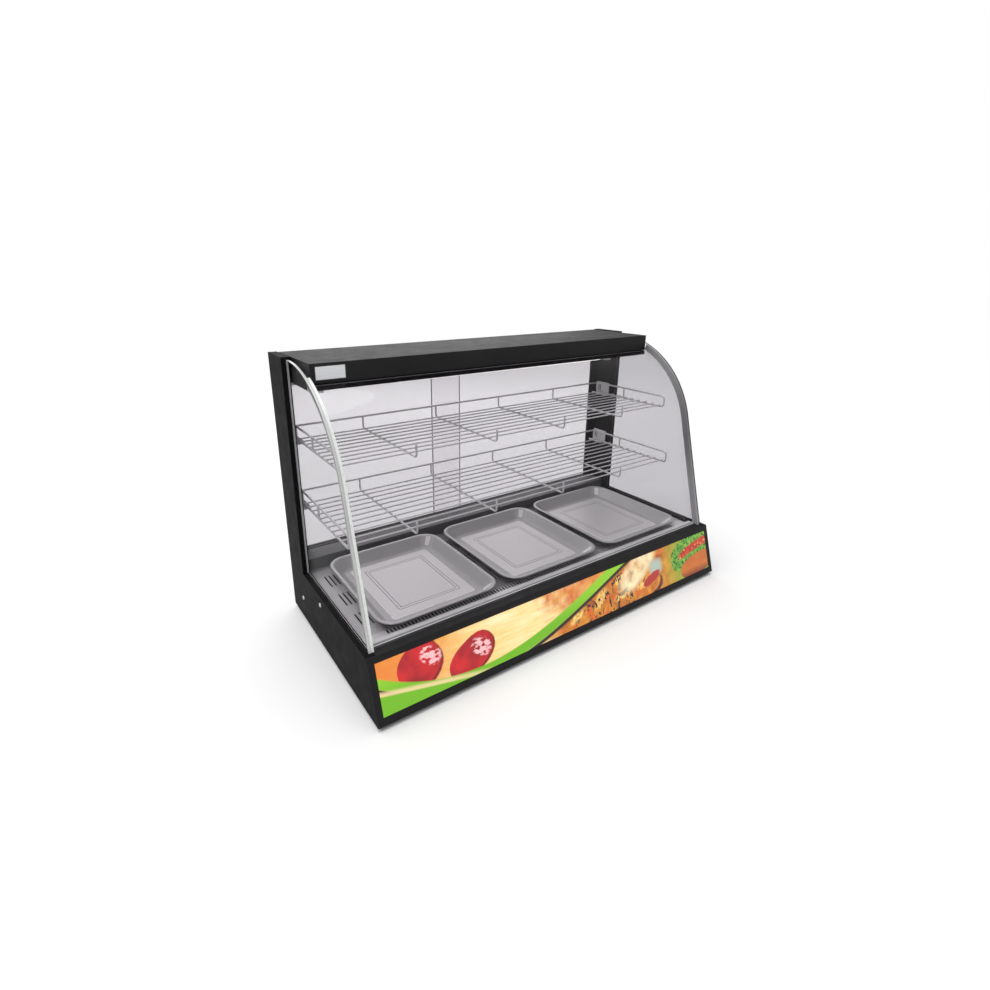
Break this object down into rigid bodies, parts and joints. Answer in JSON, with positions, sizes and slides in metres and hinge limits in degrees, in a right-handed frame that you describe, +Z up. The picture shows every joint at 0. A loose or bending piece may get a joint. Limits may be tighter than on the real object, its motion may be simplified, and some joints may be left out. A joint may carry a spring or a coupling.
{
  "type": "hot food display case",
  "caption": "Counter-top heated food display case with a curved glass front, lift-out trays, wire racks, rear sliding doors and rear controls.",
  "frame": {"origin": "on the counter, under the middle of the case's overall footprint", "axes": "+X to the right as seen from the front (customer side), +Y towards the rear doors, +Z up"},
  "size_m": [0.9, 0.439, 0.564],
  "materials": {
    "black_coat": "satin powder coat",
    "white_coat": "gloss",
    "stainless": "brushed",
    "tray_steel": "bright pressed",
    "wire": "bright",
    "track_metal": "satin",
    "bracket_metal": "satin",
    "clear_glass": "clear",
    "edge_bead": "clear silicone",
    "lamp_glass": "frosted",
    "printed_panel": "gloss print",
    "heater_sheath": "heat stained",
    "black_plastic": "matte",
    "white_plastic": "matte",
    "red_plastic": "translucent gloss",
    "green_plastic": "translucent gloss",
    "amber_plastic": "translucent gloss",
    "foot_rubber": "matte",
    "badge_metal": "satin",
    "screw_steel": "bright"
  },
  "bodies": {
    "cabinet": {"side_panel_left": "black_coat", "side_panel_right": "black_coat", "column_cover_left": "black_coat", "column_cover_right": "black_coat", "front_frame": "black_coat", "graphic_panel": "printed_panel", "light_box_reflector": "white_coat", "light_box_tube": "lamp_glass", "light_box_tube_holders": "white_plastic", "base_tray": "black_coat", "rubber_feet": "foot_rubber", "side_screws": "screw_steel", "heater_pan": "stainless", "heating_element": "heater_sheath", "heating_element_supports": "stainless", "deck_ledges": "bracket_metal", "deck_plate": "stainless", "front_glass_channel": "stainless", "side_glass_left": "clear_glass", "side_glass_right": "clear_glass", "corner_bead_left": "edge_bead", "corner_bead_right": "edge_bead", "front_glass": "clear_glass", "canopy_shell": "black_coat", "front_glass_clip": "black_coat", "canopy_soffit": "black_coat", "canopy_brackets": "black_coat", "canopy_lamp_tube": "lamp_glass", "canopy_lamp_holders": "white_plastic", "badge_plate": "badge_metal", "rear_sill": "stainless", "upper_door_track": "track_metal", "rack_upper_brackets": "bracket_metal", "rack_lower_brackets": "bracket_metal", "rack_bracket_screws": "screw_steel", "rear_panel": "black_coat", "thermostat_body": "white_plastic", "thermostat_dial": "badge_metal", "power_switch_housing": "black_plastic", "light_switch_housing": "black_plastic", "power_indicator": "green_plastic", "heating_indicator": "amber_plastic", "cord_inlet_gland": "black_plastic", "terminal_block": "white_plastic"},
    "left_door": {"door_left": "clear_glass", "door_pull_left": "black_plastic"},
    "right_door": {"door_right": "clear_glass", "door_pull_right": "black_plastic"},
    "left_tray": {"tray_1": "tray_steel"},
    "middle_tray": {"tray_2": "tray_steel"},
    "right_tray": {"tray_3": "tray_steel"},
    "upper_rack": {"rack_upper_frame": "wire", "rack_upper_wires": "wire"},
    "lower_rack": {"rack_lower_frame": "wire", "rack_lower_wires": "wire"},
    "heat_knob": {"thermostat_knob": "black_plastic", "thermostat_spindle": "screw_steel"},
    "power_rocker": {"power_switch_rocker": "green_plastic"},
    "light_rocker": {"light_switch_rocker": "red_plastic"}
  },
  "joints": [
    {"name": "left_door_slide", "type": "slide", "parent": "cabinet", "child": "left_door", "axis": [1, 0, 0], "range_m": [0, 0.455]},
    {"name": "right_door_slide", "type": "slide", "parent": "cabinet", "child": "right_door", "axis": [-1, 0, 0], "range_m": [0, 0.335]},
    {"name": "left_tray_lift", "type": "slide", "parent": "cabinet", "child": "left_tray", "axis": [0, 0.28, 0.96], "range_m": [0, 0.1]},
    {"name": "middle_tray_lift", "type": "slide", "parent": "cabinet", "child": "middle_tray", "axis": [0, 0.28, 0.96], "range_m": [0, 0.1]},
    {"name": "right_tray_lift", "type": "slide", "parent": "cabinet", "child": "right_tray", "axis": [0, 0.28, 0.96], "range_m": [0, 0.1]},
    {"name": "upper_rack_lift", "type": "slide", "parent": "cabinet", "child": "upper_rack", "axis": [0, 0, 1], "range_m": [0, 0.02]},
    {"name": "lower_rack_lift", "type": "slide", "parent": "cabinet", "child": "lower_rack", "axis": [0, 0, 1], "range_m": [0, 0.02]},
    {"name": "heat_knob_turn", "type": "hinge", "parent": "cabinet", "child": "heat_knob", "pos_m": [0.25, 0.205, 0.06], "axis": [0, -1, 0], "range_deg": [0, 270]},
    {"name": "power_rocker_tip", "type": "hinge", "parent": "cabinet", "child": "power_rocker", "pos_m": [0.15, 0.205, 0.06], "axis": [1, 0, 0], "range_deg": [0, 14]},
    {"name": "light_rocker_tip", "type": "hinge", "parent": "cabinet", "child": "light_rocker", "pos_m": [0.09, 0.205, 0.06], "axis": [1, 0, 0], "range_deg": [0, 14]}
  ]
}
